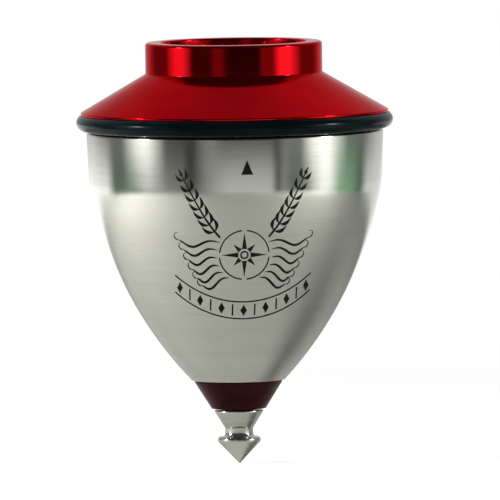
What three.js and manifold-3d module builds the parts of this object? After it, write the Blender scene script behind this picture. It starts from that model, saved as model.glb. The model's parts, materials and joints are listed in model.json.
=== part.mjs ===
// A throwing top with a free-spinning tip: a brushed steel bell, a red anodised cap clamped on it by one
// screw, a rubber bumper ring in the joint between them, and a turned steel tip that runs in a small ball
// bearing inside the dark nose. Millimetres, +Z up. The origin is the point of the tip, on the axis.

import * as THREE from "three";
import { mergeVertices } from "three/addons/utils/BufferGeometryUtils.js";
import Module from "manifold-3d";

const wasm = await Module();
wasm.setup();

// ---------------------------------------------------------------- driving dimensions

const HEIGHT = 80; // point of the tip to the rim of the cap
const RING_OUTER_R = 30; // half of the top's largest diameter
const GAP = 0.05; // between faces that seat on each other

const BIG_SIDES = 60; // cap, shell and bumper ring
const MID_SIDES = 36; // nose, tip and core post
const SMALL_SIDES = 28; // bearing and fasteners

// Bumper ring: an O-ring of 53.6 x 3.2.
const RING_CORD_R = 1.6;
const RING_PITCH_R = RING_OUTER_R - RING_CORD_R;
const RING_Z = 65;

// Shell: a straight band, a short shoulder and one long belly arc down to a flat floor.
const SHELL_TOP_Z = RING_Z - RING_CORD_R - GAP;
const SHELL_FLOOR_Z = 15.85;
const SHELL_WALL = 1.25;
const FOOT_EDGE = 0.25; // chamfer round the floor
const BAND_TOP_R = 28.1;
const BAND_FOOT_R = 27.7;
const BAND_FOOT_Z = 54.2;
const SHOULDER_R = 13;
const SHOULDER_TURN = THREE.MathUtils.degToRad(12);
const BELLY_R = 75;
const SHELL_HOLE_R = 6.2;
const SHELL_FOOT_Z = SHELL_FLOOR_Z + SHELL_WALL; // inside face of the floor

// Cap: a cone of 31 degrees under a short collar, with a dish turned in its top.
const COLLAR_R = 16.76;
const COLLAR_FOOT_Z = 74.1;
const COLLAR_EDGE = 0.45;
const DISH_R = 13.8;
const DISH_DEPTH = 3.8;
const DISH_CORNER = 1;
const DISH_EDGE = 0.2;
const DISH_FLOOR_Z = HEIGHT - DISH_DEPTH;
const CAP_RIM_R = 29.13;
const CAP_RIM_Z = 66.48;
const CAP_RIM_LIP = 0.5; // width of the bevel under the rim, over the bumper ring
const CAP_UNDER_Z = RING_Z + RING_CORD_R + 2 * GAP;
const CAP_EDGE = 0.42; // upright face round the rim
const CAP_WALL = 2.6;
const SPIGOT_R = 26.45; // plain ring under the cap that drops into the shell and centres it
const SPIGOT_WALL = 1.7;
const SPIGOT_FOOT_Z = 59.5;
const SPIGOT_EDGE = 0.5;
const BOSS_R = 7; // round the screw, down on to the post
const BOSS_EDGE = 0.4;

// Core post: takes the screw at its top and the nose's neck at its foot, and clamps the shell's floor.
const POST_TOP_Z = 64;
const POST_R = 4.2;
const POST_EDGE = 0.3;
const POST_FLANGE_R = 8.1;
const POST_FLANGE_HEIGHT = 3.2;
const POST_FLARE = 5; // height of the cone between flange and post
const POST_FLATS = 7; // across the two flats for a spanner
const POST_FLATS_FOOT_Z = 34;
const POST_FLATS_TOP_Z = 41;
const POST_DRILL_FOOT_Z = 47; // bottom of the tapped hole for the screw
const SOCKET_CLEARANCE = 0.15; // round the nose's neck
const SOCKET_ROOM = 0.5; // above the nose's neck

// Nose: the dark cone that carries the bearing, with a threaded neck up through the shell's floor.
const NOSE_FOOT_Z = 10.42;
const NOSE_FOOT_R = 5.15;
const NOSE_TOP_R = 8.28;
const NOSE_BAND = 0.35; // upright band round the top
const NOSE_EDGE = 0.15;
const NOSE_NECK_R = 5.9;
const NOSE_NECK_TOP_Z = 22;
const NOSE_NECK_EDGE = 0.4;
const NOSE_LIP_R = 2.65;
const NOSE_BOSS_R = 3.6; // low boss round the tip's spacer
const NOSE_TO_TIP = 0.12; // running clearance between that boss and the tip's shoulder

// Bearing: 3 x 8 x 4 with seven balls.
const BORE_R = 1.5;
const RACE_OUTER_R = 4;
const BEARING_WIDTH = 4;
const BEARING_FOOT_Z = 11;
const BALL_R = 0.65;
const BALL_GROOVE_R = BALL_R + GAP;
const BALL_PITCH_R = 2.75;
const BALLS = 7;
const RACE_EDGE = 0.15;
const OUTER_SHOULDER_R = 3.15;
const INNER_SHOULDER_R = 2.35;
const SHIELD_SEAT_R = 3.35;
const SHIELD_THICK = 0.15;
const SHIELD_INSET = 0.15;
const CAGE_HALF_HEIGHT = 1.05;
const CAGE_HALF_WALL = 0.2;
const CAGE_CLEARANCE = 0.08; // round each ball
const BEARING_Z = BEARING_FOOT_Z + BEARING_WIDTH / 2;
const BEARING_TOP_Z = BEARING_FOOT_Z + BEARING_WIDTH;

// Retainer: a threaded ring over the bearing, with two slots for a pin spanner.
const RETAINER_INNER_R = 3.45;
const RETAINER_HEIGHT = 2.6;
const RETAINER_SLOT = 1;
const RETAINER_SLOT_DEPTH = 0.7;

// Tip: a 45 degree point, a string neck and a flared shoulder, on a threaded shaft.
const TIP_POINT_R = 0.22;
const TIP_POINT_Z = 0.04;
const TIP_HEAD_R = 4.05;
const TIP_HEAD_Z = 4.55; // widest place of the head
const TIP_HEAD_EDGE = 0.45;
const TIP_NECK_R = 2.65;
const TIP_NECK_FOOT_Z = 5.8;
const TIP_NECK_TOP_Z = 6.5;
const TIP_NECK_FILLET = 0.35;
const TIP_SHOULDER_Z = 10.1;
const TIP_SHOULDER_R = 4.6;
const TIP_SHOULDER_EDGE = 0.12;
const TIP_SHAFT_R = BORE_R - GAP;
const TIP_SHAFT_TOP_Z = 19;
const THREAD_EDGE = 0.3; // chamfer on the end of a thread
const SPACER_R = INNER_SHOULDER_R - GAP;
const LOCKNUT_FLATS = 5.5;
const LOCKNUT_HEIGHT = 2.4;
const LOCKNUT_FACE_R = 2.6; // bevelled round from here out to the corners
const LOCKNUT_BEVEL = 0.35;

// Screw: M4 with a button head in the dish.
const SCREW_R = 1.95;
const SCREW_HOLE_R = 2.2;
const SCREW_HEAD_R = 3.8;
const SCREW_HEAD_HEIGHT = 2.1;
const SCREW_KEY = 2.5; // hexagon across flats
const SCREW_KEY_DEPTH = 1.3;
const SCREW_FOOT_Z = 50;
const WASHER_THICK = 0.6;
const WASHER_MARGIN = 0.8; // of the cap's washer round the screw's head

// ---------------------------------------------------------------- outlines and solids

// Points on an arc from angle a0 to a1, in radians, in the [radius, height] plane.
function arc(centreR, centreZ, radius, a0, a1, steps) {
  return Array.from({ length: steps + 1 }, (_, i) => {
    const a = a0 + ((a1 - a0) * i) / steps;
    return [centreR + radius * Math.cos(a), centreZ + radius * Math.sin(a)];
  });
}

// A closed outline of [radius, height] points revolved about Z. It turns anticlockwise in the plane.
function revolve(outline, sides) {
  const clockwise = THREE.ShapeUtils.area(outline.map(([r, z]) => new THREE.Vector2(r, z))) < 0;
  const loop = clockwise ? [...outline].reverse() : outline;
  const onAxis = loop.some(([r]) => r < 1e-6);
  // An outline that meets the axis starts and ends there, and any other closes on itself.
  const start = onAxis ? loop.findIndex(([r], i) => r < 1e-6 && loop.at(i - 1)[0] < 1e-6) : 0;
  const turned = [...loop.slice(start), ...loop.slice(0, start)];
  const closed = onAxis ? turned : [...turned, turned[0]];
  const points = closed.map(([r, z]) => new THREE.Vector2(r < 1e-6 ? 0 : r, z));
  return solid(new THREE.LatheGeometry(points, sides).rotateX(Math.PI / 2));
}

// A three.js geometry as a manifold-3d solid with shared vertices, its faces pointing out.
function solid(geometry) {
  const bare = new THREE.BufferGeometry().setAttribute("position", geometry.getAttribute("position"));
  if (geometry.index) bare.setIndex(geometry.index);
  const merged = mergeVertices(bare, 1e-4);
  const kept = [];
  const index = merged.index.array;
  for (let i = 0; i < index.length; i += 3) {
    const [a, b, c] = index.slice(i, i + 3);
    if (a !== b && b !== c && c !== a) kept.push(a, b, c);
  }
  const vertProperties = merged.attributes.position.array;
  const build = (triVerts) => new wasm.Manifold(new wasm.Mesh({ numProp: 3, vertProperties, triVerts }));
  const made = build(new Uint32Array(kept));
  return made.volume() < 0 ? build(new Uint32Array(kept).reverse()) : made;
}

// A hexagonal prism between two heights, across flats.
function hexagon(acrossFlats, footZ, topZ) {
  const cornerR = acrossFlats / Math.sqrt(3);
  const prism = new THREE.CylinderGeometry(cornerR, cornerR, topZ - footZ, 6);
  return solid(prism.rotateX(Math.PI / 2).translate(0, 0, (footZ + topZ) / 2));
}

// A box between two corners.
function block([x0, y0, z0], [x1, y1, z1]) {
  const box = new THREE.BoxGeometry(x1 - x0, y1 - y0, z1 - z0);
  return solid(box.translate((x0 + x1) / 2, (y0 + y1) / 2, (z0 + z1) / 2));
}

// A plain ring or washer.
function ring(innerR, outerR, footZ, topZ, sides = SMALL_SIDES) {
  return revolve([[innerR, footZ], [outerR, footZ], [outerR, topZ], [innerR, topZ]], sides);
}

const top = new THREE.Group();

// Adds a solid to the top as a named mesh.
function add(name, manifold, material) {
  const mesh = manifold.getMesh();
  const positions = new Float32Array(mesh.numVert * 3);
  for (let i = 0; i < mesh.numVert; i++) {
    positions.set(mesh.vertProperties.subarray(i * mesh.numProp, i * mesh.numProp + 3), i * 3);
  }
  const geometry = new THREE.BufferGeometry()
    .setAttribute("position", new THREE.BufferAttribute(positions, 3))
    .setIndex(new THREE.BufferAttribute(mesh.triVerts, 1));
  const faceted = geometry.toNonIndexed();
  faceted.computeVertexNormals();
  const made = new THREE.Mesh(faceted, material);
  made.name = name;
  top.add(made);
  return made;
}

// ---------------------------------------------------------------- materials

const metal = (color, roughness) => new THREE.MeshStandardMaterial({ color, roughness, metalness: 1 });
const material = {
  redAnodised: metal(0xb00810, 0.2),
  brushedSteel: metal(0xc4c5b8, 0.3),
  turnedSteel: metal(0xb9bcae, 0.22),
  zincSteel: metal(0xa9adb0, 0.35),
  bearingSteel: metal(0xc8cacc, 0.12),
  aluminium: metal(0xcfd1d2, 0.35),
  darkAnodised: new THREE.MeshStandardMaterial({ color: 0x1a0708, roughness: 0.45, metalness: 0.2 }),
  rubber: new THREE.MeshStandardMaterial({ color: 0x06090b, roughness: 0.4, metalness: 0 }),
};

// ---------------------------------------------------------------- pieces of the body

// The bell's side from the foot of the band down to the floor, offset inwards by a wall.
function bellSide(wall, steps) {
  const shoulderCentreR = BAND_FOOT_R - SHOULDER_R;
  const shoulderR = SHOULDER_R - wall;
  const jointR = shoulderCentreR + SHOULDER_R * Math.cos(SHOULDER_TURN);
  const jointZ = BAND_FOOT_Z - SHOULDER_R * Math.sin(SHOULDER_TURN);
  const bellyCentreR = jointR - BELLY_R * Math.cos(SHOULDER_TURN);
  const bellyCentreZ = jointZ + BELLY_R * Math.sin(SHOULDER_TURN);
  const bellyR = BELLY_R - wall;
  const footZ = SHELL_FLOOR_Z + wall;
  const footTurn = Math.asin((bellyCentreZ - footZ) / bellyR);
  const shoulder = arc(shoulderCentreR, BAND_FOOT_Z, shoulderR, 0, -SHOULDER_TURN, 2);
  const belly = arc(bellyCentreR, bellyCentreZ, bellyR, -SHOULDER_TURN, -footTurn, steps);
  return [...shoulder, ...belly.slice(1)];
}

function bodyShell() {
  const edge = SHELL_WALL / 2;
  const innerRimR = BAND_TOP_R - SHELL_WALL;
  const outside = bellSide(0, 8);
  const [footR] = outside.pop();
  const inside = bellSide(SHELL_WALL, 5).reverse();
  const rim = arc(innerRimR + edge, SHELL_TOP_Z - edge, edge, Math.PI, 0, 4);
  return revolve(
    [
      ...rim,
      ...outside,
      [footR, SHELL_FLOOR_Z + FOOT_EDGE],
      [footR - FOOT_EDGE, SHELL_FLOOR_Z],
      [SHELL_HOLE_R, SHELL_FLOOR_Z],
      [SHELL_HOLE_R, SHELL_FOOT_Z],
      ...inside,
    ],
    BIG_SIDES,
  );
}

function topCap() {
  const bossFootZ = POST_TOP_Z + GAP;
  const roofZ = DISH_FLOOR_Z - CAP_WALL;
  const coneFootZ = CAP_RIM_Z + CAP_EDGE;
  const coneRun = (CAP_RIM_R - COLLAR_R) / (COLLAR_FOOT_Z - coneFootZ);
  const spigotInnerR = SPIGOT_R - SPIGOT_WALL;
  const hollowTopR = spigotInnerR - (roofZ - CAP_UNDER_Z) * coneRun;
  return revolve(
    [
      [SCREW_HOLE_R, bossFootZ],
      [BOSS_R - BOSS_EDGE, bossFootZ],
      [BOSS_R, bossFootZ + BOSS_EDGE],
      [BOSS_R, roofZ],
      [hollowTopR, roofZ],
      [spigotInnerR, CAP_UNDER_Z],
      [spigotInnerR, SPIGOT_FOOT_Z],
      [SPIGOT_R - SPIGOT_EDGE, SPIGOT_FOOT_Z],
      [SPIGOT_R, SPIGOT_FOOT_Z + SPIGOT_EDGE],
      [SPIGOT_R, CAP_UNDER_Z],
      [CAP_RIM_R - CAP_RIM_LIP, CAP_UNDER_Z],
      [CAP_RIM_R, CAP_RIM_Z],
      [CAP_RIM_R, coneFootZ],
      [COLLAR_R, COLLAR_FOOT_Z],
      ...arc(COLLAR_R - COLLAR_EDGE, HEIGHT - COLLAR_EDGE, COLLAR_EDGE, 0, Math.PI / 2, 3),
      [DISH_R + DISH_EDGE, HEIGHT],
      [DISH_R, HEIGHT - DISH_EDGE],
      ...arc(DISH_R - DISH_CORNER, DISH_FLOOR_Z + DISH_CORNER, DISH_CORNER, 0, -Math.PI / 2, 3),
      [SCREW_HOLE_R, DISH_FLOOR_Z],
    ],
    BIG_SIDES,
  );
}

function bumperRing() {
  return revolve(arc(RING_PITCH_R, RING_Z, RING_CORD_R, 0, 2 * Math.PI, 12).slice(1), BIG_SIDES);
}

function capWasher() {
  const footZ = DISH_FLOOR_Z + GAP;
  return ring(SCREW_HOLE_R, SCREW_HEAD_R + WASHER_MARGIN, footZ, footZ + WASHER_THICK);
}

function capScrew() {
  const seatZ = DISH_FLOOR_Z + WASHER_THICK + 2 * GAP;
  const headTopZ = seatZ + SCREW_HEAD_HEIGHT;
  // The button is a quarter ellipse round a flat that is as wide as the key's hole needs.
  const flatR = SCREW_HEAD_R * 0.45;
  const button = arc(0, 0, 1, 0, Math.PI / 2, 5).map(([r, z]) => [
    flatR + (SCREW_HEAD_R - flatR) * r,
    seatZ + SCREW_HEAD_HEIGHT * z,
  ]);
  const turned = revolve(
    [
      [0, SCREW_FOOT_Z],
      [SCREW_R - THREAD_EDGE, SCREW_FOOT_Z],
      [SCREW_R, SCREW_FOOT_Z + THREAD_EDGE],
      [SCREW_R, seatZ],
      ...button,
      [0, headTopZ],
    ],
    SMALL_SIDES,
  );
  return turned.subtract(hexagon(SCREW_KEY, headTopZ - SCREW_KEY_DEPTH, headTopZ + 1));
}

function corePost() {
  const footZ = SHELL_FOOT_Z + WASHER_THICK + 2 * GAP;
  const socketR = NOSE_NECK_R + SOCKET_CLEARANCE;
  const socketTopZ = NOSE_NECK_TOP_Z + SOCKET_ROOM;
  const threadR = SCREW_R + GAP;
  const turned = revolve(
    [
      [0, socketTopZ],
      [socketR, socketTopZ],
      [socketR, footZ],
      [POST_FLANGE_R, footZ],
      [POST_FLANGE_R, footZ + POST_FLANGE_HEIGHT],
      [POST_R, socketTopZ + POST_FLARE],
      [POST_R, POST_TOP_Z - POST_EDGE],
      [POST_R - POST_EDGE, POST_TOP_Z],
      [threadR, POST_TOP_Z],
      [threadR, POST_DRILL_FOOT_Z + threadR / 2],
      [0, POST_DRILL_FOOT_Z],
    ],
    MID_SIDES,
  );
  const flatR = POST_FLATS / 2;
  const reach = POST_R + 1;
  const flats = [
    block([flatR, -reach, POST_FLATS_FOOT_Z], [reach, reach, POST_FLATS_TOP_Z]),
    block([-reach, -reach, POST_FLATS_FOOT_Z], [-flatR, reach, POST_FLATS_TOP_Z]),
  ];
  return turned.subtract(flats[0]).subtract(flats[1]);
}

function floorWasher() {
  const footZ = SHELL_FOOT_Z + GAP;
  return ring(SHELL_HOLE_R, POST_FLANGE_R, footZ, footZ + WASHER_THICK, MID_SIDES);
}

// ---------------------------------------------------------------- nose and bearing

function noseHousing() {
  const topZ = SHELL_FLOOR_Z - GAP;
  const boreR = RACE_OUTER_R + GAP;
  const seatZ = BEARING_FOOT_Z - GAP;
  const bossFootZ = TIP_SHOULDER_Z + NOSE_TO_TIP;
  return revolve(
    [
      [NOSE_LIP_R, bossFootZ],
      [NOSE_BOSS_R, bossFootZ],
      [NOSE_BOSS_R, NOSE_FOOT_Z],
      [NOSE_FOOT_R - NOSE_EDGE, NOSE_FOOT_Z],
      [NOSE_FOOT_R, NOSE_FOOT_Z + NOSE_EDGE],
      [NOSE_TOP_R, topZ - NOSE_BAND],
      [NOSE_TOP_R, topZ - NOSE_EDGE],
      [NOSE_TOP_R - NOSE_EDGE, topZ],
      [NOSE_NECK_R, topZ],
      [NOSE_NECK_R, NOSE_NECK_TOP_Z - NOSE_NECK_EDGE],
      [NOSE_NECK_R - NOSE_NECK_EDGE, NOSE_NECK_TOP_Z],
      [boreR, NOSE_NECK_TOP_Z],
      [boreR, seatZ],
      [NOSE_LIP_R, seatZ],
    ],
    MID_SIDES,
  );
}

// The groove that the balls run in, as points from one shoulder to the other on the given side.
function ballGroove(shoulderR, outward) {
  const offset = Math.abs(BALL_PITCH_R - shoulderR);
  const open = Math.acos(offset / BALL_GROOVE_R);
  const middle = outward ? 0 : Math.PI;
  return arc(BALL_PITCH_R, BEARING_Z, BALL_GROOVE_R, middle - open, middle + open, 4);
}

function outerRace() {
  const seat = SHIELD_INSET + SHIELD_THICK + GAP;
  return revolve(
    [
      [SHIELD_SEAT_R, BEARING_FOOT_Z],
      [RACE_OUTER_R - RACE_EDGE, BEARING_FOOT_Z],
      [RACE_OUTER_R, BEARING_FOOT_Z + RACE_EDGE],
      [RACE_OUTER_R, BEARING_TOP_Z - RACE_EDGE],
      [RACE_OUTER_R - RACE_EDGE, BEARING_TOP_Z],
      [SHIELD_SEAT_R, BEARING_TOP_Z],
      [SHIELD_SEAT_R, BEARING_TOP_Z - seat],
      [OUTER_SHOULDER_R, BEARING_TOP_Z - seat],
      ...ballGroove(OUTER_SHOULDER_R, true).reverse(),
      [OUTER_SHOULDER_R, BEARING_FOOT_Z + seat],
      [SHIELD_SEAT_R, BEARING_FOOT_Z + seat],
    ],
    SMALL_SIDES,
  );
}

function innerRace() {
  return revolve(
    [
      [BORE_R, BEARING_FOOT_Z],
      [INNER_SHOULDER_R, BEARING_FOOT_Z],
      ...ballGroove(INNER_SHOULDER_R, false).reverse(),
      [INNER_SHOULDER_R, BEARING_TOP_Z],
      [BORE_R, BEARING_TOP_Z],
    ],
    SMALL_SIDES,
  );
}

function bearingShield(footZ) {
  return ring(INNER_SHOULDER_R + 2 * GAP, SHIELD_SEAT_R - GAP, footZ, footZ + SHIELD_THICK);
}

const ballAngles = Array.from({ length: BALLS }, (_, i) => (2 * Math.PI * i) / BALLS);

function ballAt(angle, radius) {
  const ball = new THREE.SphereGeometry(radius, 10, 7).rotateX(Math.PI / 2);
  return solid(ball.translate(BALL_PITCH_R * Math.cos(angle), BALL_PITCH_R * Math.sin(angle), BEARING_Z));
}

function bearingCage() {
  const strip = ring(
    BALL_PITCH_R - CAGE_HALF_WALL,
    BALL_PITCH_R + CAGE_HALF_WALL,
    BEARING_Z - CAGE_HALF_HEIGHT,
    BEARING_Z + CAGE_HALF_HEIGHT,
  );
  return ballAngles.reduce((cage, angle) => cage.subtract(ballAt(angle, BALL_R + CAGE_CLEARANCE)), strip);
}

function bearingRetainer() {
  const footZ = BEARING_TOP_Z + GAP;
  const topZ = footZ + RETAINER_HEIGHT;
  const half = RETAINER_SLOT / 2;
  const reach = RACE_OUTER_R + 1;
  const slot = block([-reach, -half, topZ - RETAINER_SLOT_DEPTH], [reach, half, topZ + 1]);
  return ring(RETAINER_INNER_R, RACE_OUTER_R - GAP, footZ, topZ).subtract(slot);
}

// ---------------------------------------------------------------- tip

function tip() {
  const headTopZ = TIP_HEAD_Z + TIP_HEAD_EDGE;
  const headStart = TIP_HEAD_Z - 0.6; // where the cone of the point meets the head's rounded edge
  return revolve(
    [
      [0, 0],
      [TIP_POINT_R, TIP_POINT_Z],
      [TIP_HEAD_R - 0.1, headStart],
      ...arc(TIP_HEAD_R - TIP_HEAD_EDGE, TIP_HEAD_Z, TIP_HEAD_EDGE, -0.4, Math.PI / 2, 4),
      [TIP_NECK_R + 0.2, headTopZ + 0.05],
      ...arc(TIP_NECK_R + TIP_NECK_FILLET, TIP_NECK_FOOT_Z, TIP_NECK_FILLET, -2.4, -Math.PI, 2),
      [TIP_NECK_R, TIP_NECK_TOP_Z],
      ...arc(TIP_NECK_R + TIP_NECK_FILLET, TIP_NECK_TOP_Z, TIP_NECK_FILLET, Math.PI, 2.6, 2).slice(1),
      [TIP_SHOULDER_R, TIP_SHOULDER_Z - 3 * TIP_SHOULDER_EDGE],
      [TIP_SHOULDER_R, TIP_SHOULDER_Z - TIP_SHOULDER_EDGE],
      [TIP_SHOULDER_R - TIP_SHOULDER_EDGE, TIP_SHOULDER_Z],
      [TIP_SHAFT_R, TIP_SHOULDER_Z],
      [TIP_SHAFT_R, TIP_SHAFT_TOP_Z - THREAD_EDGE],
      [TIP_SHAFT_R - THREAD_EDGE, TIP_SHAFT_TOP_Z],
      [0, TIP_SHAFT_TOP_Z],
    ],
    MID_SIDES,
  );
}

function tipLocknut() {
  const footZ = BEARING_TOP_Z + WASHER_THICK + 2 * GAP;
  const topZ = footZ + LOCKNUT_HEIGHT;
  const cornerR = LOCKNUT_FLATS / Math.sqrt(3);
  const bevel = revolve(
    [
      [TIP_SHAFT_R + GAP, footZ],
      [LOCKNUT_FACE_R, footZ],
      [cornerR, footZ + LOCKNUT_BEVEL],
      [cornerR, topZ - LOCKNUT_BEVEL],
      [LOCKNUT_FACE_R, topZ],
      [TIP_SHAFT_R + GAP, topZ],
    ],
    SMALL_SIDES,
  );
  return hexagon(LOCKNUT_FLATS, footZ - 1, topZ + 1).intersect(bevel);
}

// ---------------------------------------------------------------- assembly

add("top_cap", topCap(), material.redAnodised);
add("cap_washer", capWasher(), material.zincSteel);
add("cap_screw", capScrew(), material.zincSteel);
add("bumper_ring", bumperRing(), material.rubber);
add("body_shell", bodyShell(), material.brushedSteel);
add("core_post", corePost(), material.aluminium);
add("floor_washer", floorWasher(), material.zincSteel);
add("nose_housing", noseHousing(), material.darkAnodised);

add("bearing_outer_race", outerRace(), material.bearingSteel);
add("bearing_inner_race", innerRace(), material.bearingSteel);
add("bearing_shield_lower", bearingShield(BEARING_FOOT_Z + SHIELD_INSET), material.zincSteel);
add("bearing_shield_upper", bearingShield(BEARING_TOP_Z - SHIELD_INSET - SHIELD_THICK), material.zincSteel);
add("bearing_cage", bearingCage(), material.zincSteel);
ballAngles.forEach((angle, i) => add(`bearing_ball_${i + 1}`, ballAt(angle, BALL_R), material.bearingSteel));
add("bearing_retainer", bearingRetainer(), material.zincSteel);

add("tip", tip(), material.turnedSteel);
add("tip_spacer", ring(BORE_R, SPACER_R, TIP_SHOULDER_Z + GAP, BEARING_FOOT_Z - GAP), material.turnedSteel);
add(
  "tip_washer",
  ring(BORE_R, SPACER_R, BEARING_TOP_Z + GAP, BEARING_TOP_Z + GAP + WASHER_THICK),
  material.zincSteel,
);
add("tip_locknut", tipLocknut(), material.zincSteel);

export default top;
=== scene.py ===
"""The looks of a metal throwing top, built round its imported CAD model. Blender 4.5, in metres, +Z up."""

import json
import math

import bpy
from mathutils import Matrix, Vector


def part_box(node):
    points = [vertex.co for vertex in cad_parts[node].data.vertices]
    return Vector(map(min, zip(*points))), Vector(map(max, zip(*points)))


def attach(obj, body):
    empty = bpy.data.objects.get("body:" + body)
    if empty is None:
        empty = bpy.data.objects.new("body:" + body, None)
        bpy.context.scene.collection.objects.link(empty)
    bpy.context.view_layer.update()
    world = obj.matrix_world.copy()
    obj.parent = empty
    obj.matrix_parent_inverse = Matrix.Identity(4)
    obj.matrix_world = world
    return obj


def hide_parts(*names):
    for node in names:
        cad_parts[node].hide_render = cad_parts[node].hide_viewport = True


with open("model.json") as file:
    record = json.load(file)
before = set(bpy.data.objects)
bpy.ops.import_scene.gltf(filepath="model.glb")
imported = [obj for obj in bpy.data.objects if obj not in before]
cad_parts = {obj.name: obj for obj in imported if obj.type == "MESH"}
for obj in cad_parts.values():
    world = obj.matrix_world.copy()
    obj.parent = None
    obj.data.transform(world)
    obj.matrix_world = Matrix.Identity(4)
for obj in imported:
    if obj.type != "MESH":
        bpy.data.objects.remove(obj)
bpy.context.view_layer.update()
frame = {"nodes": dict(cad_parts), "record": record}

MM = 0.001
GAP = 0.05  # between pieces that rest on each other, in millimetres
AROUND = 216  # sides of a turned piece
NOSE_AROUND = 144  # the same for the nose and the tip
SMALL_AROUND = 96


# ---------------------------------------------------------------- camera

CAMERA_DISTANCE = 3.0
CAMERA_ELEVATION = math.radians(3.6)
CAMERA_ROLL = math.radians(-0.85)
CAMERA_AIM = Vector((2.55, 0, 40.4)) * MM
VIEW_WIDTH = 94.75 * MM  # what the frame holds at the top's axis
SENSOR_WIDTH = 36


def make_camera():
    data = bpy.data.cameras.new("camera")
    data.sensor_width = SENSOR_WIDTH
    data.lens = SENSOR_WIDTH * CAMERA_DISTANCE / VIEW_WIDTH
    camera = bpy.data.objects.new("camera", data)
    bpy.context.scene.collection.objects.link(camera)
    back = Vector((0, -math.cos(CAMERA_ELEVATION), math.sin(CAMERA_ELEVATION)))
    turn = (-back).to_track_quat("-Z", "Y").to_matrix().to_4x4()
    place = Matrix.Translation(CAMERA_AIM + back * CAMERA_DISTANCE)
    camera.matrix_world = place @ turn @ Matrix.Rotation(CAMERA_ROLL, 4, "Z")
    data.clip_end = 10
    bpy.context.scene.camera = camera


# ---------------------------------------------------------------- shader helpers


class Shader:
    """A material's node tree, with short calls for the nodes that the materials below share."""

    def __init__(self, name, **constants):
        self.material = bpy.data.materials.new(name)
        self.material.use_nodes = True
        self.nodes = self.material.node_tree.nodes
        self.links = self.material.node_tree.links
        self.surface = self.nodes["Principled BSDF"]
        for socket, value in constants.items():
            self.surface.inputs[socket.replace("_", " ")].default_value = value

    def node(self, kind, **settings):
        made = self.nodes.new(kind)
        for name, value in settings.items():
            setattr(made, name, value)
        return made

    def math(self, operation, a, b=None):
        """A Math node of two values, each a number or a socket."""
        made = self.node("ShaderNodeMath", operation=operation)
        for socket, value in zip(made.inputs, (a, b)):
            if value is None:
                continue
            if isinstance(value, (int, float)):
                socket.default_value = value
            else:
                self.links.new(value, socket)
        return made.outputs[0]

    def place(self, scale):
        """Object coordinates, scaled along each axis, in features per metre."""
        where = self.node("ShaderNodeTexCoord").outputs["Object"]
        mapping = self.node("ShaderNodeMapping")
        mapping.inputs["Scale"].default_value = scale
        self.links.new(where, mapping.inputs["Vector"])
        return mapping.outputs["Vector"]

    def turned(self, around, across):
        """Coordinates that run slowly round the axis and fast across it, on walls, cones and flats."""
        where = self.node("ShaderNodeSeparateXYZ")
        self.links.new(self.node("ShaderNodeTexCoord").outputs["Object"], where.inputs[0])
        x, y, z = where.outputs
        square = self.math("ADD", self.math("MULTIPLY", x, x), self.math("MULTIPLY", y, y))
        climb = self.math("SUBTRACT", z, self.math("SQRT", square))
        joined = self.node("ShaderNodeCombineXYZ")
        for socket, value, rate in zip(joined.inputs, (x, y, climb), (around, around, across)):
            self.links.new(self.math("MULTIPLY", value, rate), socket)
        return joined.outputs[0]

    def noise(self, vector, detail):
        made = self.node("ShaderNodeTexNoise")
        made.inputs["Scale"].default_value = 1
        made.inputs["Detail"].default_value = detail
        made.inputs["Roughness"].default_value = 0.55
        self.links.new(vector, made.inputs["Vector"])
        return made.outputs["Fac"]

    def spread(self, value, low, high, start=0.3, stop=0.7):
        """Maps a noise's useful range to a range of values."""
        made = self.node("ShaderNodeMapRange")
        limits = zip(("From Min", "From Max", "To Min", "To Max"), (start, stop, low, high))
        for socket, number in limits:
            made.inputs[socket].default_value = number
        self.links.new(value, made.inputs["Value"])
        return made.outputs["Result"]

    def mix(self, factor, first, second):
        """A colour between two, by a factor from 0 to 1."""
        made = self.node("ShaderNodeMix", data_type="RGBA")
        colours = [s for s in made.inputs if s.type == "RGBA"]
        colours[0].default_value = (*first, 1)
        colours[1].default_value = (*second, 1)
        self.links.new(factor, made.inputs["Factor"])
        return next(s for s in made.outputs if s.type == "RGBA")

    def drive(self, socket, value):
        self.links.new(value, self.surface.inputs[socket])

    def bump(self, height, depth, strength):
        """Raises the surface by a height from 0 to 1, times a depth in metres."""
        made = self.node("ShaderNodeBump")
        made.inputs["Strength"].default_value = strength
        made.inputs["Distance"].default_value = depth
        self.links.new(height, made.inputs["Height"])
        self.drive("Normal", made.outputs["Normal"])

    def lay_brushing(self):
        """Stretches highlights across marks that run round the Z axis."""
        tangent = self.node("ShaderNodeTangent", direction_type="RADIAL", axis="Z")
        self.surface.inputs["Anisotropic Rotation"].default_value = 0.25
        self.drive("Tangent", tangent.outputs["Tangent"])


# ---------------------------------------------------------------- materials


def brushed_bell():
    """Stainless steel, brushed round the axis, a little yellow-green as the studio's light shows it."""
    s = Shader("brushed_bell", Metallic=1.0, Anisotropic=0.75)
    lines = s.noise(s.turned(40, 5200), detail=3)
    bands = s.noise(s.turned(25, 700), detail=2)
    clouds = s.noise(s.place((60, 60, 60)), detail=2)
    tone = s.math("ADD", s.math("MULTIPLY", lines, 0.6), s.math("MULTIPLY", bands, 0.4))
    s.drive("Base Color", s.mix(s.spread(tone, 0, 1), (0.55, 0.555, 0.50), (0.63, 0.635, 0.58)))
    rough = s.math("ADD", s.math("MULTIPLY", tone, 0.7), s.math("MULTIPLY", clouds, 0.3))
    s.drive("Roughness", s.spread(rough, 0.15, 0.185))
    s.bump(lines, 0.002 * MM, 0.2)
    s.lay_brushing()
    return s.material


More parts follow.
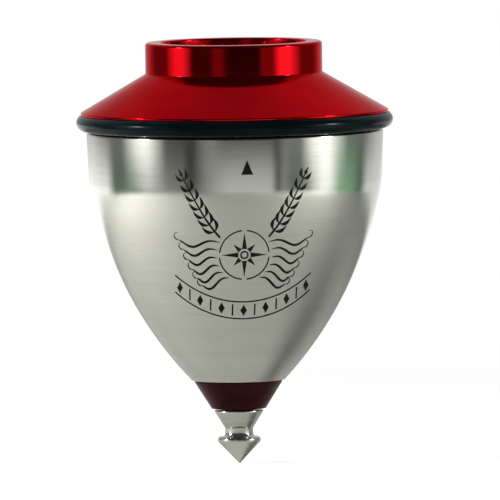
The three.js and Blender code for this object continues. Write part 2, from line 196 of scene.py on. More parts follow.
def red_cap():
    """Red dye under a clear anodised skin, over fine turning marks."""
    s = Shader("red_cap", Metallic=1.0, Anisotropic=0.3, Specular_Tint=(1, 0.54, 0.54, 1))
    rings = s.noise(s.turned(30, 3500), detail=3)
    clouds = s.noise(s.place((90, 90, 90)), detail=3)
    s.drive("Base Color", s.mix(s.spread(clouds, 0, 1), (0.50, 0.002, 0.006), (0.60, 0.005, 0.010)))
    s.drive("Roughness", s.spread(rings, 0.09, 0.13))
    s.bump(rings, 0.002 * MM, 0.4)
    s.lay_brushing()
    return s.material


def bumper_rubber():
    """Black nitrile, satin, with a fine moulded grain."""
    s = Shader("bumper_rubber", Metallic=0.0, Specular_IOR_Level=0.075)
    grain = s.noise(s.place((5000, 5000, 5000)), detail=2)
    patches = s.noise(s.place((250, 250, 250)), detail=3)
    colour = s.mix(s.spread(patches, 0, 1), (0.0003, 0.0016, 0.0020), (0.0010, 0.0030, 0.0036))
    s.drive("Base Color", colour)
    s.drive("Roughness", s.spread(patches, 0.15, 0.20))
    s.bump(grain, 0.006 * MM, 0.3)
    return s.material


def dark_nose():
    """Aluminium anodised nearly black, with a maroon cast."""
    s = Shader("dark_nose", Metallic=0.6, Anisotropic=0.3, Specular_IOR_Level=0.1)
    rings = s.noise(s.turned(60, 4200), detail=3)
    clouds = s.noise(s.place((300, 300, 300)), detail=2)
    s.drive("Base Color", s.mix(s.spread(clouds, 0, 1), (0.018, 0.0025, 0.003), (0.032, 0.005, 0.006)))
    s.drive("Roughness", s.spread(rings, 0.30, 0.42))
    s.bump(rings, 0.006 * MM, 0.5)
    s.lay_brushing()
    return s.material


def turned_tip():
    """Hardened steel straight from the lathe, with a tool mark every tenth of a millimetre or so."""
    s = Shader("turned_tip", Metallic=1.0, Anisotropic=0.4)
    marks = s.noise(s.turned(80, 9000), detail=2)
    bands = s.noise(s.turned(60, 1500), detail=2)
    s.drive("Base Color", s.mix(s.spread(bands, 0, 1), (0.50, 0.51, 0.45), (0.72, 0.73, 0.66)))
    s.drive("Roughness", s.spread(marks, 0.10, 0.20))
    s.bump(marks, 0.008 * MM, 0.6)
    s.lay_brushing()
    return s.material


def plain_metal(name, dark, light, rough_low, rough_high, anisotropic):
    """The metals inside: screw, washers, bearing and post."""
    s = Shader(name, Metallic=1.0, Anisotropic=anisotropic)
    rings = s.noise(s.turned(90, 5000), detail=3)
    clouds = s.noise(s.place((400, 400, 400)), detail=3)
    s.drive("Base Color", s.mix(s.spread(clouds, 0, 1), dark, light))
    s.drive("Roughness", s.spread(rings, rough_low, rough_high))
    s.bump(rings, 0.005 * MM, 0.4)
    s.lay_brushing()
    return s.material


def fastener_steel():
    return plain_metal("fastener_steel", (0.42, 0.43, 0.45), (0.60, 0.61, 0.62), 0.25, 0.38, 0.2)


def bearing_steel():
    return plain_metal("bearing_steel", (0.62, 0.63, 0.64), (0.76, 0.77, 0.78), 0.06, 0.14, 0.1)


def post_aluminium():
    return plain_metal("post_aluminium", (0.68, 0.69, 0.70), (0.80, 0.81, 0.82), 0.28, 0.40, 0.4)


def etched_mark():
    """The dark oxide of a laser mark, a little brown where it is thin."""
    s = Shader("etched_mark", Metallic=0.0, Specular_IOR_Level=0.06)
    grain = s.noise(s.place((3500, 3500, 3500)), detail=3)
    patches = s.noise(s.place((220, 220, 220)), detail=2)
    s.drive("Base Color", s.mix(s.spread(patches, 0, 1), (0.002, 0.002, 0.0015), (0.012, 0.010, 0.005)))
    s.drive("Roughness", s.spread(grain, 0.45, 0.65))
    s.bump(grain, 0.004 * MM, 0.5)
    return s.material


MATERIALS = {
    "brushed_bell": brushed_bell(),
    "red_cap": red_cap(),
    "bumper_rubber": bumper_rubber(),
    "dark_nose": dark_nose(),
    "turned_tip": turned_tip(),
    "fastener_steel": fastener_steel(),
    "bearing_steel": bearing_steel(),
    "post_aluminium": post_aluminium(),
}
ETCHED = etched_mark()


# ---------------------------------------------------------------- turned pieces

NEARLY_STRAIGHT = math.radians(89.5)  # half the angle between a corner's sides
FILLET_SHARE = 0.49  # the most that a fillet takes of either side


def arc(centre, radius, start, stop, steps):
    """Points on an arc in the (radius, height) plane, angles in radians."""
    turns = [start + (stop - start) * i / steps for i in range(steps + 1)]
    return [(centre[0] + radius * math.cos(a), centre[1] + radius * math.sin(a)) for a in turns]


def filleted(corners, steps=6):
    """An outline of (radius, height, fillet) corners, with each fillet worked out as an arc."""
    outline = []
    for i, (r, z, fillet) in enumerate(corners):
        here = Vector((r, z))
        back = Vector(corners[i - 1][:2]) - here
        ahead = Vector(corners[(i + 1) % len(corners)][:2]) - here
        half = back.angle(ahead) / 2
        if fillet == 0 or half > NEARLY_STRAIGHT:
            outline.append((r, z))
            continue
        shorter = min(back.length, ahead.length)
        cut = min(fillet / math.tan(half), FILLET_SHARE * shorter)
        radius = cut * math.tan(half)
        middle = (back.normalized() + ahead.normalized()).normalized() * (radius / math.sin(half))
        start = back.normalized() * cut - middle
        stop = ahead.normalized() * cut - middle
        first = math.atan2(start.y, start.x)
        sweep = (math.atan2(stop.y, stop.x) - first + math.pi) % (2 * math.pi) - math.pi
        outline += arc(here + middle, radius, first, first + sweep, steps)
    return outline


def turn(name, outline, around=AROUND):
    """Revolves a closed outline of (radius, height) points in millimetres about the Z axis."""
    before = outline[-1:] + outline[:-1]
    area = sum(r0 * z1 - r1 * z0 for (r0, z0), (r1, z1) in zip(before, outline))
    if area < 0:
        outline = outline[::-1]
    rings, points = [], []
    for r, z in outline:
        sides = 1 if r < 1e-6 else around
        rings.append([len(points) + k for k in range(sides)])
        for k in range(sides):
            a = 2 * math.pi * k / around
            points.append((r * math.cos(a) * MM, r * math.sin(a) * MM, z * MM))
    faces = []
    for i, low in enumerate(rings):
        high = rings[(i + 1) % len(rings)]
        for k in range(around):
            n = (k + 1) % around
            quad = [low[k % len(low)], low[n % len(low)], high[n % len(high)], high[k % len(high)]]
            face = list(dict.fromkeys(quad))
            if len(face) > 2:
                faces.append(face)
    return make_piece(name, points, faces)


SHARP_EDGE = math.radians(35)


def smooth(mesh):
    """Shades a mesh smooth, all but its sharp edges."""
    mesh.polygons.foreach_set("use_smooth", [True] * len(mesh.polygons))
    mesh.set_sharp_from_angle(angle=SHARP_EDGE)


def make_piece(name, points, faces):
    mesh = bpy.data.meshes.new(name)
    mesh.from_pydata(points, [], faces)
    mesh.validate()
    smooth(mesh)
    made = bpy.data.objects.new(name, mesh)
    bpy.context.scene.collection.objects.link(made)
    return made


def finish_piece(piece, slot, body, *nodes):
    """Gives a piece its slot's material and its body, and hides the CAD nodes that it stands for."""
    piece.data.materials.clear()
    piece.data.materials.append(MATERIALS[slot])
    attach(piece, body)
    if nodes:
        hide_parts(*nodes)


def span(node):
    """A round node's radius and its lowest and highest point, in millimetres."""
    low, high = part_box(node)
    return high.x / MM, low.z / MM, high.z / MM


# ---------------------------------------------------------------- bell

BELL_R, BELL_FOOT, BELL_TOP = span("body_shell")
BELL_WALL = 1.25
BELL_HOLE_R = 6.2
BELL_FOOT_ROUND = 0.25
BAND_FOOT = 54.2
BAND_FOOT_R = 27.7
SHOULDER_R = 13
SHOULDER_TURN = math.radians(12)
BELLY_R = 75
SHOULDER_CENTRE = (BAND_FOOT_R - SHOULDER_R, BAND_FOOT)
SHOULDER_FOOT = arc(SHOULDER_CENTRE, SHOULDER_R, 0, -SHOULDER_TURN, 1)[1]
BELLY_CENTRE = arc(SHOULDER_FOOT, -BELLY_R, 0, -SHOULDER_TURN, 1)[1]


def bell_radius(z):
    """The bell's outer radius at a height, in millimetres."""
    if z >= BAND_FOOT:
        return BAND_FOOT_R + (BELL_R - BAND_FOOT_R) * (z - BAND_FOOT) / (BELL_TOP - BAND_FOOT)
    if z >= SHOULDER_FOOT[1]:
        return SHOULDER_CENTRE[0] + math.sqrt(SHOULDER_R**2 - (BAND_FOOT - z) ** 2)
    return BELLY_CENTRE[0] + math.sqrt(BELLY_R**2 - (BELLY_CENTRE[1] - z) ** 2)


def bell_side(wall, foot, steps):
    """The bell's side from the foot of its band down to a height, offset inwards by a wall."""
    lowest = math.asin((BELLY_CENTRE[1] - foot) / (BELLY_R - wall))
    shoulder = arc(SHOULDER_CENTRE, SHOULDER_R - wall, 0, -SHOULDER_TURN, 6)
    belly = arc(BELLY_CENTRE, BELLY_R - wall, -SHOULDER_TURN, -lowest, steps)
    return shoulder + belly[1:]


def make_bell():
    lip = BELL_WALL / 2
    rim = arc((BELL_R - lip, BELL_TOP - lip), lip, math.pi, 0, 14)
    round_z = BELL_FOOT + BELL_FOOT_ROUND
    outside = bell_side(0, round_z, 40)
    round_r = outside[-1][0] - 0.3
    foot_edge = arc((round_r, round_z), BELL_FOOT_ROUND, 0, -math.pi / 2, 5)[1:]
    inside = bell_side(BELL_WALL, BELL_FOOT + BELL_WALL, 24)[::-1]
    floor = [(BELL_HOLE_R, BELL_FOOT), (BELL_HOLE_R, BELL_FOOT + BELL_WALL)]
    bell = turn("bell", rim + outside + foot_edge + floor + inside)
    finish_piece(bell, "brushed_bell", "body", "body_shell")


# ---------------------------------------------------------------- cap, screw and bumper ring

RIM_R, CAP_FOOT, CAP_TOP = span("top_cap")
COLLAR_R = 16.76
COLLAR_FOOT = 74.1
RIM_Z = 66.48
RIM_EDGE = 0.42
RIM_UNDER = 66.7
SPIGOT_R = 26.45
SPIGOT_INNER_R = 24.75
DISH_R = 13.8
SCREW_HOLE_R = 2.2
BOSS_R = 7
WASHER_R, WASHER_FOOT, WASHER_TOP = span("cap_washer")
DISH_FLOOR = WASHER_FOOT - GAP
DISH_THICK = 2.6
ROOF = DISH_FLOOR - DISH_THICK
BOSS_FOOT = span("core_post")[2] + GAP


def make_cap():
    slope = (RIM_R - COLLAR_R) / (COLLAR_FOOT - RIM_Z - RIM_EDGE)
    hollow_r = SPIGOT_INNER_R - (ROOF - RIM_UNDER) * slope
    outline = filleted(
        [
            (SCREW_HOLE_R, BOSS_FOOT, 0.1),
            (BOSS_R, BOSS_FOOT, 0.4),
            (BOSS_R, ROOF, 0.8),
            (hollow_r, ROOF, 0.8),
            (SPIGOT_INNER_R, RIM_UNDER, 1.5),
            (SPIGOT_INNER_R, CAP_FOOT, 0.2),
            (SPIGOT_R, CAP_FOOT, 0.5),
            (SPIGOT_R, RIM_UNDER, 0),
            (RIM_R - 0.5, RIM_UNDER, 0.2),
            (RIM_R, RIM_Z, 0.08),
            (RIM_R, RIM_Z + RIM_EDGE, 0.16),
            (COLLAR_R, COLLAR_FOOT, 0.25),
            (COLLAR_R, CAP_TOP, 0.55),
            (DISH_R, CAP_TOP, 0.35),
            (DISH_R, DISH_FLOOR, 1.2),
            (SCREW_HOLE_R, DISH_FLOOR, 0.15),
        ],
        steps=8,
    )
    finish_piece(turn("cap", outline), "red_cap", "body", "top_cap")


def make_bumper():
    outer, low, high = span("bumper_ring")
    cord = (high - low) / 2
    circle = arc((outer - cord, (low + high) / 2), cord, 0, 2 * math.pi, 40)[1:]
    finish_piece(turn("bumper", circle), "bumper_rubber", "body", "bumper_ring")


SCREW_SHANK_R = 1.95
HEX_KEY = 2.5  # across flats
HEX_DEPTH = 1.3


def make_screw():
    head_r, foot, top = span("cap_screw")
    seat = WASHER_TOP + GAP
    shank = [(0, foot, 0), (SCREW_SHANK_R, foot, 0.4), (SCREW_SHANK_R, seat, 0)]
    dome = [
        (head_r, seat, 0.15),
        (head_r, seat + 0.35, 0.3),
        (head_r - 0.55, top - 0.75, 1.2),
        (head_r * 0.55, top, 0.8),
        (0, top, 0),
    ]
    screw = turn("button_screw", filleted(shank + dome), SMALL_AROUND)
    bpy.ops.mesh.primitive_cylinder_add(
        vertices=6,
        radius=HEX_KEY / math.sqrt(3) * MM,
        depth=2 * HEX_DEPTH * MM,
        location=(0, 0, top * MM),
    )
    key = bpy.context.object
    cut = screw.modifiers.new("socket", "BOOLEAN")
    cut.operation = "DIFFERENCE"
    cut.object = key
    bpy.context.view_layer.update()
    evaluated = screw.evaluated_get(bpy.context.evaluated_depsgraph_get())
    screw.data = bpy.data.meshes.new_from_object(evaluated)
    screw.modifiers.clear()
    bpy.data.objects.remove(key)
    smooth(screw.data)
    finish_piece(screw, "fastener_steel", "body", "cap_screw")


def make_cap_washer():
    outline = filleted(
        [
            (SCREW_HOLE_R, WASHER_FOOT, 0.08),
            (WASHER_R, WASHER_FOOT, 0.12),
            (WASHER_R, WASHER_TOP, 0.15),
            (SCREW_HOLE_R, WASHER_TOP, 0.08),
        ]
    )
    finish_piece(turn("flat_washer", outline, SMALL_AROUND), "fastener_steel", "body", "cap_washer")


# ---------------------------------------------------------------- nose and tip

NOSE_TOP_R, BOSS_Z, NECK_TOP = span("nose_housing")
NOSE_TOP = BELL_FOOT - GAP
NOSE_FOOT = 10.42
NOSE_FOOT_R = 5.15
LIP_R = 2.65
BOSS_RING_R = 3.6
POCKET_R = 4.05
POCKET_FOOT = span("bearing_outer_race")[1] - GAP
NECK_R = 5.9


def make_nose():
    outline = filleted(
        [
            (LIP_R, BOSS_Z, 0.05),
            (BOSS_RING_R, BOSS_Z, 0.06),
            (BOSS_RING_R, NOSE_FOOT, 0),
            (NOSE_FOOT_R, NOSE_FOOT, 0.15),
            (NOSE_TOP_R, NOSE_TOP - 0.35, 0.3),
            (NOSE_TOP_R, NOSE_TOP, 0.15),
            (NECK_R, NOSE_TOP, 0),
            (NECK_R, NECK_TOP, 0.4),
            (POCKET_R, NECK_TOP, 0.15),
            (POCKET_R, POCKET_FOOT, 0),
            (LIP_R, POCKET_FOOT, 0.05),
        ]
    )
    finish_piece(turn("nose", outline, NOSE_AROUND), "dark_nose", "body", "nose_housing")


TIP_SHOULDER_R = 4.6
TIP_SHOULDER = 10.1
TIP_NECK_R = 2.65
TIP_HEAD_R = 4.05
TIP_HEAD_FOOT = 4.1
TIP_HEAD_TOP = 5.0
TIP_NECK_FOOT = 5.75
TIP_NECK_TOP = 6.65
SHAFT_R = 1.45


def make_tip():
    _, point, shaft_top = span("tip")
    outline = filleted(
        [
            (0, point, 0),
            (0.14, point, 0.12),
            (TIP_HEAD_R, TIP_HEAD_FOOT, 0.4),
            (TIP_HEAD_R, TIP_HEAD_TOP, 0.45),
            (TIP_NECK_R + 0.2, TIP_HEAD_TOP + 0.15, 0.35),
            (TIP_NECK_R, TIP_NECK_FOOT, 0.6),
            (TIP_NECK_R, TIP_NECK_TOP, 0.5),
            (TIP_SHOULDER_R, TIP_SHOULDER - 0.3, 0.1),
            (TIP_SHOULDER_R, TIP_SHOULDER, 0.12),
            (SHAFT_R, TIP_SHOULDER, 0.05),
            (SHAFT_R, shaft_top, 0.3),
            (0, shaft_top, 0),
        ]
    )
    finish_piece(turn("turned_point", outline, NOSE_AROUND), "turned_tip", "tip", "tip")


# ---------------------------------------------------------------- etched marks

ORNAMENT_TURN = math.radians(3.5)  # the ornament's middle, round to the right of the front
POINTER_TURN = math.radians(4.6)  # the same for the triangle above it
POINTER_WIDTH = 2.25
POINTER_HEIGHT = 2.75
POINTER_FOOT = 56.3
MARK_PROUD = 0.018
MARK_DEEP = 0.03
MARK_COLUMNS = 4  # faces across a stroke, so that a wide one follows the wall


def on_bell(u, z, turn_by, proud):
    """A point of the bell's wall, u millimetres round from a middle line, at a height."""
    radius = bell_radius(z)
    angle = turn_by + u / radius
    out = radius + proud
    return (out * math.sin(angle) * MM, -out * math.cos(angle) * MM, z * MM)


def stroke(path, width, steps=14):
    """A flat mark along path(t), t from 0 to 1, as wide as width(t): lists of its left and right edge."""
    left, right = [], []
    for i in range(steps + 1):
        t = i / steps
        u0, z0 = path(max(t - 0.01, 0))
        u1, z1 = path(min(t + 0.01, 1))
        length = math.hypot(u1 - u0, z1 - z0)
        u, z = path(t)
        half = max(width(t), 0.03) / 2
        across = (-(z1 - z0) / length * half, (u1 - u0) / length * half)
        left.append((u + across[0], z + across[1]))
        right.append((u - across[0], z - across[1]))
    return left, right


def make_marks(name, strokes, turn_by):
    """Joins strokes into one thin solid piece that lies on the bell, its back just inside the steel."""
    points, faces = [], []
    for left, right in strokes:
        rows = len(left)
        base = len(points)
        # A loop of points round each row: its face from left to right, then its back.
        for (u0, z0), (u1, z1) in zip(left, right):
            for k in range(MARK_COLUMNS + 1):
                share = k / MARK_COLUMNS
                place = (u0 + (u1 - u0) * share, z0 + (z1 - z0) * share)
                points.append(on_bell(*place, turn_by, MARK_PROUD))
            points.append(on_bell(u1, z1, turn_by, -MARK_DEEP))
            points.append(on_bell(u0, z0, turn_by, -MARK_DEEP))
        loop = MARK_COLUMNS + 3
        for i in range(rows - 1):
            here, there = base + i * loop, base + (i + 1) * loop
            for k in range(loop):
                n = (k + 1) % loop
                faces.append((here + k, there + k, there + n, here + n))
        last = base + (rows - 1) * loop
        faces.append(tuple(range(base, base + loop)))
        faces.append(tuple(range(last + loop - 1, last - 1, -1)))
    marks = make_piece(name, points, faces)
    marks.data.materials.append(ETCHED)
    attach(marks, "body")


def line(start, stop):
    """A straight path."""
    return lambda t: (start[0] + (stop[0] - start[0]) * t, start[1] + (stop[1] - start[1]) * t)


def bezier(p0, p1, p2, p3):
    """A cubic Bezier path."""

    def at(t):
        s = 1 - t
        weights = (s**3, 3 * s * s * t, 3 * s * t * t, t**3)
        return tuple(sum(w * p[k] for w, p in zip(weights, (p0, p1, p2, p3))) for k in (0, 1))

    return at


def swell(widest, tail=0.0):
    """A width that swells from nothing to the widest and back."""
    return lambda t: widest * math.sin(math.pi * min(max(t, 0), 1)) ** 0.8 + tail


def mirrored(path):
    return lambda t: (-path(t)[0], path(t)[1])


def both(path, width, steps=14):
    """The stroke and its mirror image."""
    return [stroke(path, width, steps), stroke(mirrored(path), width, steps)]


def pointer():
    """A triangle that points up."""
    foot, top, half = POINTER_FOOT, POINTER_FOOT + POINTER_HEIGHT, POINTER_WIDTH / 2
    return [([(-half, foot), (-0.01, top)], [(half, foot), (0.01, top)])]


STAR_CENTRE = (0, 41.0)
STAR_HUB_R = 0.65
STAR_RAY_START = 1.15
STAR_LONG_RAY = 4.3
STAR_SHORT_RAY = 2.9
STAR_RING_R = 4.7


def round_star(angle, radius):
    """A point round the star's centre, by its clockwise angle from the top."""
    return (STAR_CENTRE[0] + radius * math.sin(angle), STAR_CENTRE[1] + radius * math.cos(angle))


def star_strokes():
    """A compass star of eight rays round an open hub, in a broken ring."""
    strokes = []
    for k in range(8):
        angle = k * math.pi / 4
        reach = STAR_LONG_RAY if k % 2 == 0 else STAR_SHORT_RAY
        ray = line(round_star(angle, STAR_RAY_START), round_star(angle, reach))
        strokes.append(stroke(ray, lambda t: 0.95 * (1 - t), 6))
    for radius, width, gap in ((STAR_HUB_R, 0.3, 0), (STAR_RING_R, 0.26, 0.1)):
        for k in range(4):
            first = k * math.pi / 2 + gap
            sweep = math.pi / 2 - 2 * gap

            def ring(t, radius=radius, first=first, sweep=sweep):
                return round_star(first + sweep * t, radius)

            strokes.append(stroke(ring, lambda t, w=width: w, 16))
    return strokes


BRANCH_LEAVES = 7
LEAF_SPREAD = math.radians(30)
LEAF_BOW = math.radians(62)


def leaf_strokes(stem, t, length, widest):
    """A pair of leaves at a place on a stem, and the same on the mirrored stem."""
    u, z = stem(t)
    before = stem(t - 0.02)
    heading = math.atan2(z - before[1], u - before[0])
    strokes = []
    for side in (-1, 1):
        tip_way = heading + side * LEAF_SPREAD
        bow_way = heading + side * LEAF_BOW
        end = (u + length * math.cos(tip_way), z + length * math.sin(tip_way))
        bow = (u + 0.5 * length * math.cos(bow_way), z + 0.5 * length * math.sin(bow_way))
        strokes += both(bezier((u, z), bow, bow, end), swell(widest), 8)
    return strokes


def branch_strokes():
    """Two leafy branches that spread upwards from the sides of the star."""
    stem = bezier((4.6, 44.4), (7.4, 47.4), (9.2, 51.0), (12.0, 56.2))
    strokes = both(stem, lambda t: 0.44 * (1 - 0.5 * t), 24)
    for k in range(BRANCH_LEAVES):
        t = 0.12 + 0.82 * k / (BRANCH_LEAVES - 1)
        strokes += leaf_strokes(stem, t, 2.9 - 0.8 * t, 0.66)
    strokes += both(line(stem(1), (12.75, 57.6)), lambda t: 0.75 * (1 - t), 6)
    return strokes


WAVES = 6


def wave_strokes():
    """Long tapered waves that stream out from the star to both sides, each ending in a curl."""
    strokes = []
    for k in range(WAVES):
        start = round_star(math.radians(62 + 17 * k), STAR_RING_R + 0.5)
        reach = 13.1 - 0.95 * k
        drop = 0.3 + 0.42 * k

        def wave(t, start=start, reach=reach, drop=drop):
            u = start[0] + (reach - start[0]) * t
            ripple = 0.62 * math.sin(2.5 * math.pi * t) * (0.4 + t)
            return (u, start[1] - drop * t + ripple)

        strokes += both(wave, swell(0.42, 0.06), 26)
        u, z = wave(1)
        curl = bezier((u, z), (u + 0.9, z + 0.5), (u + 0.7, z + 1.5), (u - 0.2, z + 1.3))
        strokes += both(curl, lambda t: 0.26 * (1 - 0.7 * t), 10)
    return strokes


BORDER_HALF_WIDTH = 13.6
BORDER_FOOT = 28.6
BORDER_RISE = 5.2  # how far its ends stand above its middle
BORDER_HEIGHT = 3.3
BORDER_INSET = 0.55
BORDER_CELLS = 13


def border_strokes():
    """A curved border of lozenges and bars between two fine lines."""
    strokes = []

    def curve(t, lift):
        aside = 2 * t - 1
        return (BORDER_HALF_WIDTH * aside, BORDER_FOOT + lift + BORDER_RISE * aside**2)

    for lift in (0, BORDER_HEIGHT):
        strokes.append(stroke(lambda t, lift=lift: curve(t, lift), lambda t: 0.26, 40))
    for k in range(BORDER_CELLS):
        t = (k + 0.5) / BORDER_CELLS
        low, high = curve(t, BORDER_INSET), curve(t, BORDER_HEIGHT - BORDER_INSET)
        if k % 2 == 0:
            strokes.append(stroke(line(low, high), lambda t: 1.25 * (1 - abs(2 * t - 1)), 8))
        else:
            strokes.append(stroke(line(low, high), lambda t: 0.3, 2))
    return strokes


# ---------------------------------------------------------------- studio

FLOOR_R = 0.26
FLOOR_FADE = 0.06  # how wide the edge is over which it fades out
FLOOR_RINGS = 24
FLOOR_AROUND = 96
FLOOR_TONE = (0.21, 0.21, 0.20)
FLOOR_LIFT = 0.75  # light added for the camera alone, so that the dark tone still looks pale


def make_floor():
    points, faces = [(0, 0, 0)], []
    for i in range(1, FLOOR_RINGS + 1):
        radius = FLOOR_R * i / FLOOR_RINGS
        for k in range(FLOOR_AROUND):
            a = 2 * math.pi * k / FLOOR_AROUND
            points.append((radius * math.cos(a), radius * math.sin(a), 0))
    for k in range(FLOOR_AROUND):
        n = (k + 1) % FLOOR_AROUND
        faces.append((0, 1 + k, 1 + n))
        for i in range(FLOOR_RINGS - 1):
            near, far = 1 + i * FLOOR_AROUND, 1 + (i + 1) * FLOOR_AROUND
            faces.append((near + k, far + k, far + n, near + n))
    floor = make_piece("floor", points, faces)
    s = Shader("pale_floor", Base_Color=(*FLOOR_TONE, 1), Roughness=0.9, Specular_IOR_Level=0.1)
    where = s.node("ShaderNodeVectorMath", operation="LENGTH")
    s.links.new(s.node("ShaderNodeTexCoord").outputs["Object"], where.inputs[0])
    fade = s.spread(where.outputs["Value"], 1, 0, FLOOR_R - FLOOR_FADE, FLOOR_R)
    below = s.node("ShaderNodeNewGeometry").outputs["Backfacing"]
    s.drive("Alpha", s.math("MULTIPLY", fade, s.math("SUBTRACT", 1, below)))  # clear from underneath
    seen = s.node("ShaderNodeLightPath").outputs["Is Camera Ray"]
    s.surface.inputs["Emission Color"].default_value = (1, 1, 1, 1)
    s.drive("Emission Strength", s.math("MULTIPLY", seen, FLOOR_LIFT))
    floor.data.materials.append(s.material)


WHITE = (1, 1, 1)
LEAFY = (0.50, 1, 0.62)  # daylight through trees, in the windows at both sides

# What stands round the top: (azimuth of its middle from the camera with right positive, width, brightness,
# tint), angles in degrees. Light fades evenly from one to the next. Eye level is what the cap's collar
# mirrors, and table level, a little lower, is what the bell's straight band mirrors.
EYE_LEVEL = {
    "back wall, left": (-162, 36, 0.60, WHITE),
    "doorway, left": (-112, 26, 0.20, WHITE),
    "softbox, left": (-77, 12, 1.65, WHITE),
    "dark room, left": (-44, 24, 0.06, WHITE),
    "window frame": (-21, 6, 0.26, WHITE),
    "dark room, right": (12, 40, 0.02, WHITE),
    "pale door": (46, 14, 0.28, WHITE),
    "softbox, right": (70, 14, 1.80, WHITE),
    "doorway, right": (112, 26, 0.20, WHITE),
    "back wall, right": (162, 36, 0.60, WHITE),
}
TABLE_LEVEL = {
    "back wall, middle": (-180, 0, 1.20, WHITE),
    "back wall, left": (-140, 34, 1.50, WHITE),
    "garden window, left": (-98, 26, 0.17, LEAFY),
    "softbox, left": (-72, 8, 0.44, WHITE),
    "wall, left": (-46, 8, 0.30, WHITE),
    "dark post, left": (-36, 4, 0.04, WHITE),
    "pale table": (11, 34, 0.90, WHITE),
    "dark post, right": (34, 1, 0.08, WHITE),
    "window bar": (38, 1, 0.32, WHITE),
    "garden window, right": (53, 14, 0.11, LEAFY),
    "softbox, right": (76, 8, 1.36, WHITE),
    "garden behind": (97, 14, 0.55, LEAFY),
    "tree": (117, 2, 0.20, LEAFY),
    "back wall, right": (143, 30, 0.95, WHITE),
    "back wall, middle again": (180, 0, 1.20, WHITE),
}
BRIGHTEST = 1.8  # the strength that a full white stop stands for
TABLE_TO_EYE = (-0.066, -0.057)  # heights of direction between which one gives way to the other
EYE_TO_CEILING = (0.20, 0.42)
# The ceiling, which the cap's cone mirrors, from left to right: (sideways part of the direction, brightness).
CEILING = (
    (-1.0, 0.50),
    (-0.30, 0.54),
    (-0.20, 0.44),
    (-0.08, 0.40),
    (0.08, 0.40),
    (0.20, 0.46),
    (0.30, 0.58),
    (1.0, 0.50),
)
CEILING_FRONT = 0.06  # it is dark over the camera
CEILING_FRONT_TO_BACK = (0.15, 0.38)  # backward parts of the direction, between which it brightens


class Studio:
    """The world's node tree: what light comes from each direction."""

    def __init__(self):
        world = bpy.data.worlds.new("studio")
        world.use_nodes = True
        bpy.context.scene.world = world
        self.nodes = world.node_tree.nodes
        self.nodes.clear()
        self.links = world.node_tree.links

    def math(self, operation, a, b):
        made = self.nodes.new("ShaderNodeMath")
        made.operation = operation
        for socket, value in zip(made.inputs, (a, b)):
            if isinstance(value, (int, float)):
                socket.default_value = value
            else:
                self.links.new(value, socket)
        return made.outputs[0]

    def ramp(self, value, start, stop):
        """Maps a value between a start and a stop to a share from 0 to 1."""
        made = self.nodes.new("ShaderNodeMapRange")
        made.inputs["From Min"].default_value = start
        made.inputs["From Max"].default_value = stop
        self.links.new(value, made.inputs["Value"])
        return made.outputs[0]

    def strip(self, share, stops):
        """Light that changes along a strip, by stops of (place from 0 to 1, brightness, tint)."""
        made = self.nodes.new("ShaderNodeValToRGB")
        elements = made.color_ramp.elements
        while len(elements) > 1:
            elements.remove(elements[-1])
        for i, (position, brightness, tint) in enumerate(stops):
            element = elements[0] if i == 0 else elements.new(position)
            element.position = position
            element.color = (*(brightness / BRIGHTEST * c for c in tint), 1)
        self.links.new(share, made.inputs[0])
        return self.light(made.outputs["Color"], BRIGHTEST)

    def walls(self, share, features):
        """A ring of light and dark round the top, each feature with a stop at its left and right edge."""
        stops = []
        for middle, width, brightness, tint in features.values():
            for edge in (middle - width / 2, middle + width / 2):
                stops.append(((edge + 180) / 360, brightness, tint))
        return self.strip(share, stops)

    def light(self, colour, strength):
        """A background of a colour socket, or white where there is none."""
        made = self.nodes.new("ShaderNodeBackground")
        made.inputs["Color"].default_value = (1, 1, 1, 1)
        if colour is not None:
            self.links.new(colour, made.inputs["Color"])
        made.inputs["Strength"].default_value = strength
        return made.outputs[0]

    def mix(self, factor, first, second):
        made = self.nodes.new("ShaderNodeMixShader")
        for socket, value in zip(made.inputs, (factor, first, second)):
            self.links.new(value, socket)
        return made.outputs[0]


def make_studio():
    studio = Studio()
    way = studio.nodes.new("ShaderNodeSeparateXYZ")
    studio.links.new(studio.nodes.new("ShaderNodeTexCoord").outputs["Generated"], way.inputs[0])
    x, y, z = way.outputs
    azimuth = studio.math("ARCTAN2", x, studio.math("MULTIPLY", y, -1))
    share = studio.ramp(azimuth, -math.pi, math.pi)
    table = studio.walls(share, TABLE_LEVEL)
    eye = studio.walls(share, EYE_LEVEL)
    around = studio.mix(studio.ramp(z, *TABLE_TO_EYE), table, eye)
    stops = [((side + 1) / 2, brightness, WHITE) for side, brightness in CEILING]
    ceiling_back = studio.strip(studio.ramp(x, -1, 1), stops)
    ceiling_front = studio.light(None, CEILING_FRONT)
    ceiling = studio.mix(studio.ramp(y, *CEILING_FRONT_TO_BACK), ceiling_front, ceiling_back)
    room = studio.mix(studio.ramp(z, *EYE_TO_CEILING), around, ceiling)
    backdrop = studio.light(None, 1.0)
    seen = studio.nodes.new("ShaderNodeLightPath").outputs["Is Camera Ray"]
    output = studio.nodes.new("ShaderNodeOutputWorld")
    studio.links.new(studio.mix(seen, room, backdrop), output.inputs["Surface"])


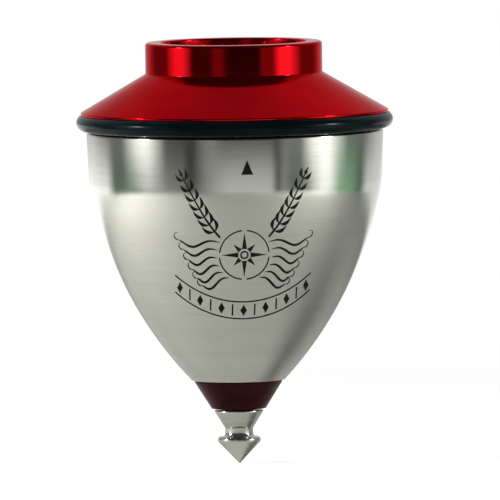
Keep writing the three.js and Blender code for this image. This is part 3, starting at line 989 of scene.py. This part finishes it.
# Soft rectangles of light: (place, the point that it faces, its size, its power in watts).
LIGHTS = {
    "overhead": ((0.15, 0.35, 1.1), (0, 0, 0.04), (0.7, 0.5), 1),
    "window_left": ((-0.25, -0.01, 0.14), (-0.10, -0.02, 0), (0.15, 0.12), 3.2),
    "window_right": ((0.23, -0.13, 0.08), (0.13, -0.08, 0), (0.12, 0.06), 1.5),
}

# Two lamps, one at each side, seen in metal but not lighting matt surfaces.
LAMP_AZIMUTH = math.radians(77)
LAMP_DISTANCE = 1.0
LAMP_HEIGHT = 0.38
LAMP_AIM = (0, 0, 0.06)
LAMP_SIZE = (0.12, 0.12)
LAMP_POWER = 3


def add_light(name, place, aim, size, power, mirrored=False):
    """A light that only lights matt surfaces or, if mirrored, is only seen in shiny ones."""
    data = bpy.data.lights.new(name, "AREA")
    data.shape = "RECTANGLE"
    data.size, data.size_y = size
    data.energy = power
    light = bpy.data.objects.new(name, data)
    bpy.context.scene.collection.objects.link(light)
    light.visible_camera = False
    light.visible_glossy = mirrored
    light.visible_diffuse = not mirrored
    light.location = place
    light.rotation_mode = "QUATERNION"
    light.rotation_quaternion = (Vector(aim) - light.location).to_track_quat("-Z", "Y")


def add_lights():
    for name, settings in LIGHTS.items():
        add_light(name, *settings)
    for name, side in (("lamp_left", -1), ("lamp_right", 1)):
        across = side * LAMP_DISTANCE * math.sin(LAMP_AZIMUTH)
        place = (across, -LAMP_DISTANCE * math.cos(LAMP_AZIMUTH), LAMP_HEIGHT)
        add_light(name, place, LAMP_AIM, LAMP_SIZE, LAMP_POWER, mirrored=True)


# ---------------------------------------------------------------- the scene

make_camera()
make_bell()
make_cap()
make_bumper()
make_screw()
make_cap_washer()
make_nose()
make_tip()
make_marks("pointer_mark", pointer(), POINTER_TURN)
make_marks("ornament_star", star_strokes(), ORNAMENT_TURN)
make_marks("ornament_branches", branch_strokes(), ORNAMENT_TURN)
make_marks("ornament_waves", wave_strokes(), ORNAMENT_TURN)
make_marks("ornament_border", border_strokes(), ORNAMENT_TURN)

for subpart in frame["record"]["subparts"]:
    node = frame["nodes"][subpart["node"]]
    node.data.materials.clear()
    node.data.materials.append(MATERIALS[subpart["material_slot"]])

make_floor()
make_studio()
add_lights()
bpy.context.scene.view_settings.view_transform = "Standard"
